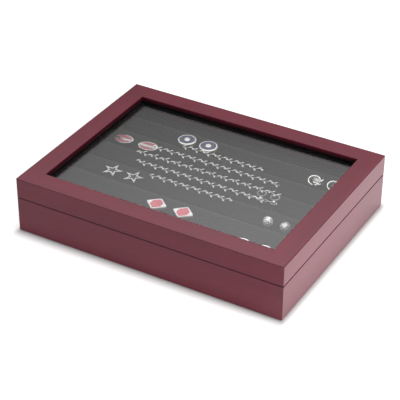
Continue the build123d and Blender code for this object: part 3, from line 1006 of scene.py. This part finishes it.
@dataclass
class Roll:
    """One roll of foam in a velvet cover, in the space of its CAD solid."""

    name: str
    foot_round: float = 2.0 * MM
    foot_steps: int = 4
    crown_steps: int = 16
    end_round: float = 3.0 * MM
    end_angles: Sequence[float] = (0.0, 0.5, 1.0)
    inset: float = 0.5 * MM
    stride: float = 3.2 * MM
    ring_points: int = 34
    swell: float = 1.6 * MM
    flank: float = 0.1 * MM
    slot_reach: float = 0.95 * MM
    post_reach: float = 0.1 * MM
    post_room: Sequence[float] = (3.4 * MM, 8.0 * MM)
    levels: int = 1
    low: Vector = field(init=False)
    high: Vector = field(init=False)
    middle: float = field(init=False)
    crown_radius: float = field(init=False)

    def __post_init__(self) -> None:
        """Reads the solid's size, and the arc of its crown from the height of its shoulders."""
        self.low, self.high = corners_of(self.name)
        self.middle = (self.low.y + self.high.y) / 2
        vertices = node_of(self.name).data.vertices
        shoulder = max(v.co.z for v in vertices if v.co.y < self.low.y + self.flank)
        half = (self.high.y - self.low.y) / 2
        rise = self.high.z - shoulder
        self.crown_radius = (half**2 + rise**2) / (2 * rise)

    def crown(self, y: float) -> float:
        """The height of the solid's crown at a distance to the rear."""
        drop = self.crown_radius**2 - (y - self.middle) ** 2
        return self.high.z - self.crown_radius + math.sqrt(max(drop, 0.0))

    def outline(self) -> list[Vector]:
        """Draws the cover's cross-section before it is filled, a little inside the solid.

        Returns:
            The points of the outline, from its foot at the front on.
        """
        foot = self.foot_round
        low, high = self.low.y + self.inset, self.high.y - self.inset
        floor = self.low.z + self.inset
        steps = self.crown_steps
        across = [high + (low - high) * step / steps for step in range(steps + 1)]
        return [
            *arc(Vector((0, low + foot, floor + foot)), foot, 180, 270, self.foot_steps),
            *arc(Vector((0, high - foot, floor + foot)), foot, 270, 360, self.foot_steps),
            *(Vector((0, y, self.crown(y) - self.inset)) for y in across),
        ]

    def cover(self) -> Piece:
        """Makes the cover as a closed skin with round ends, not yet filled.

        Returns:
            The cover.
        """
        ring = even_ring(self.outline(), self.ring_points)
        heart = sum(ring, Vector()) / len(ring)
        low, high = self.low.x + self.inset, self.high.x - self.inset
        count = round((high - low - 2 * self.end_round) / self.stride)
        body = [low + self.end_round + step * self.stride for step in range(count)]
        ends = [(self.end_round * (1 - math.cos(a)), 1 - math.sin(a)) for a in self.end_angles]
        rings = []
        for x, shrink in (
            *((low + depth, shrink) for depth, shrink in ends),
            *((x, 0.0) for x in (*body, high - self.end_round)),
            *((high - depth, shrink) for depth, shrink in reversed(ends)),
        ):
            pulled = [p + (heart - p).normalized() * shrink * self.end_round for p in ring]
            rings.append([Vector((x, p.y, p.z)) for p in pulled])
        piece = new_piece(f"{self.name}_cover", skin(rings), "base")
        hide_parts(self.name)
        return piece

    def seat(self, piece: Piece, posts: Sequence[Vector]) -> None:
        """Presses the filled cover against what is round it.

        Args:
            piece: the filled cover.
            posts: the cufflinks' posts, which dent the sides that they pass.
        """
        near, far = self.post_room
        for vertex in piece.data.vertices:
            point = vertex.co
            reach = [self.slot_reach, self.slot_reach]
            for post in posts:
                side = 0 if post.y < self.middle else 1
                if abs(post.y - (self.low, self.high)[side].y) < 2 * self.slot_reach:
                    away = clamp((abs(point.x - post.x) - near) / (far - near), 0.0, 1.0)
                    room = self.post_reach + (self.slot_reach - self.post_reach) * smooth(away)
                    reach[side] = min(reach[side], room)
            point.y = clamp(point.y, self.low.y - reach[0], self.high.y + reach[1])
            point.x = clamp(point.x, self.low.x, self.high.x)
            crown = self.crown(clamp(point.y, self.low.y, self.high.y))
            point.z = clamp(point.z, self.low.z, crown)

    def finish(self, piece: Piece) -> None:
        """Smooths the seated cover.

        Args:
            piece: the seated cover.
        """
        piece.modifiers.new("smooth", "SUBSURF").levels = self.levels
        bake(piece)


@dataclass
class Liner:
    """A strip of card in velvet, against one wall, in the space of its CAD solid."""

    side: Side
    wrap: float = 0.55 * MM
    wrap_steps: int = 3
    long_edge: float = 100 * MM
    cuts: int = 40
    ripple: float = 0.08 * MM
    cells: float = 70.0

    def build(self) -> Piece:
        """Makes the strip with soft edges.

        Returns:
            The strip.
        """
        name = f"liner_{self.side.word}"
        low, high = corners_of(name)
        middle = (low + high) / 2
        mesh = bmesh.new()
        bmesh.ops.create_cube(mesh, size=1.0)
        bmesh.ops.scale(mesh, vec=high - low, verts=mesh.verts)
        bmesh.ops.translate(mesh, vec=middle, verts=mesh.verts)
        bmesh.ops.bevel(
            mesh, geom=mesh.edges[:], offset=self.wrap, segments=self.wrap_steps, affect="EDGES"
        )
        run = [e for e in mesh.edges if e.calc_length() > self.long_edge]
        bmesh.ops.subdivide_edges(mesh, edges=run, cuts=self.cuts, use_grid_fill=True)
        for vertex in mesh.verts:
            pull = self.ripple * noise.noise(vertex.co * self.cells)
            vertex.co -= (vertex.co - middle).normalized() * abs(pull)
        piece = new_piece(f"{name}_cover", mesh, "base")
        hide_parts(name)
        return piece


@dataclass
class FeltSheet:
    """The felt under the box, cut with round corners."""

    columns: int = 52
    rows: int = 39
    corner: float = 3.0 * MM
    fray: float = 0.12 * MM
    fray_cells: float = 40.0

    def build(self) -> Piece:
        """Makes the sheet in the space of its CAD solid.

        Returns:
            The sheet.
        """
        low, high = corners_of("underside_felt")
        middle, half = (low + high) / 2, (high - low) / 2
        mesh = bmesh.new()
        bmesh.ops.create_grid(mesh, x_segments=self.columns, y_segments=self.rows, size=1.0)
        core = Vector((half.x - self.corner, half.y - self.corner))
        for vertex in mesh.verts:
            flat = Vector((vertex.co.x * half.x, vertex.co.y * half.y))
            over = Vector((max(abs(flat.x) - core.x, 0.0), max(abs(flat.y) - core.y, 0.0)))
            # A square corner shrinks to the quarter circle in it.
            if over.length > 0:
                cut = over * (max(over) / over.length)
                flat.x = math.copysign(min(abs(flat.x), core.x) + cut.x, flat.x)
                flat.y = math.copysign(min(abs(flat.y), core.y) + cut.y, flat.y)
            if vertex.is_boundary:
                pull = self.fray * abs(noise.noise(vertex.co * self.fray_cells))
                flat -= flat.normalized() * pull
            vertex.co = Vector((middle.x + flat.x, middle.y + flat.y, low.z))
        sheet = new_piece("underside_felt_sheet", mesh, "base")
        thickness = sheet.modifiers.new("thickness", "SOLIDIFY")
        thickness.thickness = high.z - low.z
        thickness.offset = 1.0
        bake(sheet)
        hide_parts("underside_felt")
        return sheet


@dataclass
class Padding:
    """The board, the velvet rolls and liner in the base, and the felt under it."""

    velvet: Velvet = field(default_factory=Velvet)
    card: Board = Board("grey_card", (0.17, 0.16, 0.15), (0.25, 0.24, 0.225))
    felt: Board = Board(
        "black_felt", (0.014, 0.014, 0.015), (0.030, 0.030, 0.032), Pattern(1500.0, 4, 0.7), 1.0
    )
    pressure: float = 4.0
    steps: int = 20

    def build(self) -> None:
        """Makes and dresses the soft lining."""
        velvet = self.velvet.material()
        names = sorted(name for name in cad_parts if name.startswith("velvet_"))
        rolls = [Roll(name) for name in names]
        covers = [roll.cover() for roll in rolls]
        self.fill(covers, rolls[0].swell)
        posts = Cufflinks.posts()
        for roll, cover in zip(rolls, covers):
            roll.seat(cover, posts)
            roll.finish(cover)
            dress(cover, velvet)
        for side in Side:
            dress(Liner(side).build(), velvet)
        dress(node_of("insert_board"), self.card.material())
        dress(FeltSheet().build(), self.felt.material())

    def fill(self, covers: Sequence[Piece], limit: float) -> None:
        """Fills covers by a cloth simulation with pressure and no weight.

        Args:
            covers: the covers, which are all simulated at once.
            limit: how far a point may move, in metres.
        """
        scene = bpy.context.scene
        for cover in covers:
            settings = cover.modifiers.new("cover", "CLOTH").settings
            settings.use_pressure = True
            settings.uniform_pressure_force = self.pressure
            settings.effector_weights.gravity = 0.0
        for step in range(1, self.steps + 1):
            scene.frame_set(step)
        graph = bpy.context.evaluated_depsgraph_get()
        filled = [
            [v.co.copy() for v in cover.evaluated_get(graph).data.vertices] for cover in covers
        ]
        for cover, points in zip(covers, filled):
            cover.modifiers.clear()
            for vertex, point in zip(cover.data.vertices, points):
                shift = point - vertex.co
                vertex.co += shift * limit / (limit + shift.length)
        scene.frame_set(1)


@dataclass
class Cufflinks:
    """The eight pairs of cufflinks in the slots."""

    plate: Metal = Metal("polished_rhodium", (0.84, 0.84, 0.83), (0.66, 0.66, 0.66), 0.16)
    bright: Metal = Metal(
        "bright_rhodium",
        (0.98, 0.97, 0.95),
        (0.92, 0.90, 0.88),
        0.20,
        shine=0.30,
        under_shade=(0.20, 0.16, 0.12),
    )
    antique: Metal = Metal("antique_rhodium", (0.50, 0.50, 0.49), (0.28, 0.28, 0.27), 0.24)
    knotted: Metal = Metal("knotted_rhodium", (0.68, 0.68, 0.67), (0.26, 0.26, 0.25), 0.22)
    engraved: Metal = Metal("engraved_rhodium", (0.66, 0.65, 0.65), (0.46, 0.45, 0.45), 0.26)
    satin: Metal = Metal("satin_rhodium", (0.66, 0.66, 0.65), (0.54, 0.54, 0.54), 0.30)
    dimpled: Metal = Metal(
        "dimpled_rhodium",
        (1.0, 1.0, 0.99),
        (0.90, 0.90, 0.90),
        0.22,
        dimple_scale=760.0,
        shine=0.30,
    )
    blue: Enamel = Enamel("blue_enamel", (0.022, 0.023, 0.085), (0.045, 0.048, 0.15), 0.12, 0.1)
    red: Enamel = Enamel("red_enamel", (0.74, 0.085, 0.13), (0.62, 0.06, 0.10))
    rose: Enamel = Enamel("rose_enamel", (0.46, 0.09, 0.12), (0.30, 0.07, 0.09), 0.12, 0.2)
    white: Enamel = Enamel("white_enamel", (0.95, 0.94, 0.92), (0.88, 0.87, 0.86))
    pearl: Enamel = Enamel("pearl", (0.64, 0.59, 0.58), (0.56, 0.55, 0.57), 0.22)

    @staticmethod
    def posts() -> list[Vector]:
        """Finds where each cufflink's post stands, from the sizes of the toggles.

        Returns:
            The posts' places, seen from above.
        """
        half_fork = 2.35 * MM
        places = []
        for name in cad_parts:
            if name.endswith("_toggles"):
                low, high = corners_of(name)
                row = (low.y + high.y) / 2
                places += [Vector((x, row, 0)) for x in (low.x + half_fork, high.x - half_fork)]
        return places

    def build(self) -> None:
        """Dresses every head, toggle and inlay."""
        # Each head's metal carries painted shade below the height given.
        finishes = {
            "disc_heads": self.bright.with_under_shade("disc", 41.2 * MM),
            "knot_heads": self.knotted.with_under_shade("knot", 33.6 * MM),
            "oval_heads": self.engraved.with_under_shade("oval", 39.7 * MM),
            "link_heads": self.antique.with_under_shade("link", 33.6 * MM),
            "star_heads": self.satin.with_under_shade("star", 41.0 * MM),
            "ball_heads": self.dimpled.with_under_shade("ball", 33.6 * MM),
            "lozenge_heads": self.bright.with_under_shade("lozenge", 40.3 * MM),
            "pearl_heads": self.plate.with_under_shade("pearl", 36.0 * MM),
            "disc_enamel": self.blue,
            "oval_enamel": self.rose,
            "lozenge_middles": self.red,
            "lozenge_tips": self.white,
            "pearls": self.pearl,
        }
        finishes |= {name: self.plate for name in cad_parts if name.endswith("_toggles")}
        made = {finish: finish.material() for finish in dict.fromkeys(finishes.values())}
        for name, finish in finishes.items():
            dress(node_of(name), made[finish])


@dataclass(frozen=True)
class SoftBox:
    """A square lamp that points at the box and that gloss and glass don't mirror."""

    name: str
    place: Sequence[float]
    width: float
    power: float

    def hang(self) -> None:
        """Hangs the lamp in its place, with its power in watts."""
        data = bpy.data.lights.new(self.name, "AREA")
        data.size = self.width
        data.energy = self.power
        lamp = bpy.data.objects.new(self.name, data)
        lamp.location = self.place
        lamp.rotation_mode = "QUATERNION"
        lamp.rotation_quaternion = Vector(self.place).to_track_quat("Z", "Y")
        lamp.visible_glossy = False
        bpy.context.scene.collection.objects.link(lamp)


@dataclass
class Studio:
    """The camera, whose angles are in degrees, the white floor and the soft light."""

    azimuth: float = 29.6974
    elevation: float = 33.2673
    roll: float = -0.3585
    distance: float = 1.32534
    aim: Sequence[float] = (0.0, -0.00746, 0.02747)
    slide: Sequence[float] = (-0.00109, -0.00275)
    lens: float = 131.99
    nearest: float = 0.05
    floor_reach: float = 6.0
    floor_glow: float = 0.45
    # Painted reflected light: how the floor glows to glossy rays, dim except to the right of the
    # box, where it is white.
    reflected_floor_glow: float = 0.56
    reflected_floor_dim: Colour = (0.42, 0.42, 0.42)
    reflected_floor_sweep: Sequence[float] = (0.09, 0.145)
    paper: Colour = (0.80, 0.80, 0.80)
    # Painted contact shadow round the box's foot: darker paper there and a dimmer glow to the
    # camera.
    paper_foot_shadow: Colour = (0.55, 0.55, 0.55)
    foot_shadow_glow: Colour = (0.15, 0.15, 0.15)
    foot_shade: Sequence[float] = (5.5 * MM, 11.0 * MM)
    foot_range: Sequence[float] = (-0.35, 1.0)
    panel_inset: float = 6.2 * MM
    ambient: float = 0.42
    panel_light: Sequence[float] = (0.36, 1.95)
    panel_edge: Sequence[float] = (0.47, 0.635)
    soft_boxes: Sequence[SoftBox] = (
        SoftBox("top_soft_box", (-0.03, 0.08, 1.5), 0.40, 9.0),
        SoftBox("right_soft_box", (0.75, -0.12, 0.27), 0.4, 4.0),
        SoftBox("front_soft_box", (-0.1, -1.4, 0.35), 0.6, 1.2),
    )

    def build(self) -> None:
        """Makes the whole studio."""
        self.camera()
        self.floor()
        self.world()
        for soft_box in self.soft_boxes:
            soft_box.hang()
        bpy.context.scene.view_settings.view_transform = "Standard"

    def camera(self) -> None:
        """Stands the camera where the photograph was taken from."""
        turn, rise, lean = (math.radians(a) for a in (self.azimuth, self.elevation, self.roll))
        flat = math.cos(rise)
        back = Vector((math.sin(turn) * flat, -math.cos(turn) * flat, math.sin(rise)))
        level = Vector((0, 0, 1)).cross(back).normalized()
        upright = back.cross(level)
        right = math.cos(lean) * level - math.sin(lean) * upright
        top = math.sin(lean) * level + math.cos(lean) * upright
        across, along = self.slide
        place = Vector(self.aim) + back * self.distance - right * across + top * along
        data = bpy.data.cameras.new("camera")
        data.lens = self.lens
        data.clip_start = self.nearest
        camera = bpy.data.objects.new("camera", data)
        camera.matrix_world = Matrix(
            [[right[i], top[i], back[i], place[i]] for i in range(3)] + [[0, 0, 0, 1]]
        )
        bpy.context.scene.collection.objects.link(camera)
        bpy.context.scene.camera = camera

    def floor(self) -> None:
        """Lays a pale floor that shows white to the camera and keeps the shadow, with a painted
        contact shadow round the box's foot and a painted glow, white to the right of the box, that
        only glossy rays see.
        """
        mesh = bmesh.new()
        bmesh.ops.create_grid(mesh, x_segments=1, y_segments=1, size=self.floor_reach)
        data = bpy.data.meshes.new("floor")
        mesh.to_mesh(data)
        mesh.free()
        floor = bpy.data.objects.new("floor", data)
        bpy.context.scene.collection.objects.link(floor)
        shader = new_shader("white_floor")
        x, y, _ = shader.axes(shader.place())
        camera_ray, glossy_ray = shader.ray("Camera"), shader.ray("Glossy")
        _, corner = corners_of("bottom_panel")
        # Painted contact shadow: near the box's foot the paper darkens and its glow to the camera
        # dims.
        aside = (abs(x) - corner.x - self.panel_inset).at_least(0.0) / self.foot_shade[0]
        ahead = (abs(y) - corner.y - self.panel_inset).at_least(0.0) / self.foot_shade[1]
        clear = ((aside * aside + ahead * ahead) ** 0.5).step(*self.foot_range)
        tone = shader.blend(clear, self.paper_foot_shadow, self.paper)
        paper = shader.node("ShaderNodeBsdfDiffuse", None, {"Color": tone})
        seen = shader.blend(clear, self.foot_shadow_glow, WHITE)
        # Painted reflection: glossy rays see the floor glow, dim except to the right of the box, a
        # pool of light that the gloss mirrors.
        mirrored = shader.blend(x.step(*self.reflected_floor_sweep), self.reflected_floor_dim, WHITE)
        strength = camera_ray * self.floor_glow + glossy_ray * self.reflected_floor_glow
        shown = shader.blend(camera_ray, mirrored, seen)
        glow = shader.node("ShaderNodeEmission", None, {"Color": shown, "Strength": strength})
        dress(floor, shader.close(shader.node("ShaderNodeAddShader", None, {0: paper, 1: glow})))

    def world(self) -> None:
        """Surrounds the box with white, with a soft edge in it above the rear horizon."""
        shader = Shader(bpy.data.worlds.new("studio_world"))
        bpy.context.scene.world = shader.owner
        camera_ray, glossy_ray = shader.ray("Camera"), shader.ray("Glossy")
        _, _, rise = shader.axes(shader.node("ShaderNodeTexCoord", output="Generated"))
        low, high = self.panel_light
        panel = low + rise.step(*self.panel_edge) * (high - low)
        others = (1 - camera_ray - glossy_ray).at_least(0.0)
        strength = camera_ray + glossy_ray * panel + others * self.ambient
        light = shader.node("ShaderNodeBackground", None, {"Color": WHITE, "Strength": strength})
        shader.close(light, "ShaderNodeOutputWorld")


def main() -> None:
    """Builds the box's looks in order, with a report of each piece."""
    logging.basicConfig(level=logging.INFO, format="%(message)s")
    for part in (Case(), Glazing(), Hinges(), Padding(), Cufflinks(), Studio()):
        log.info("%s", type(part).__name__)
        part.build()


if __name__ == "__main__":
    main()
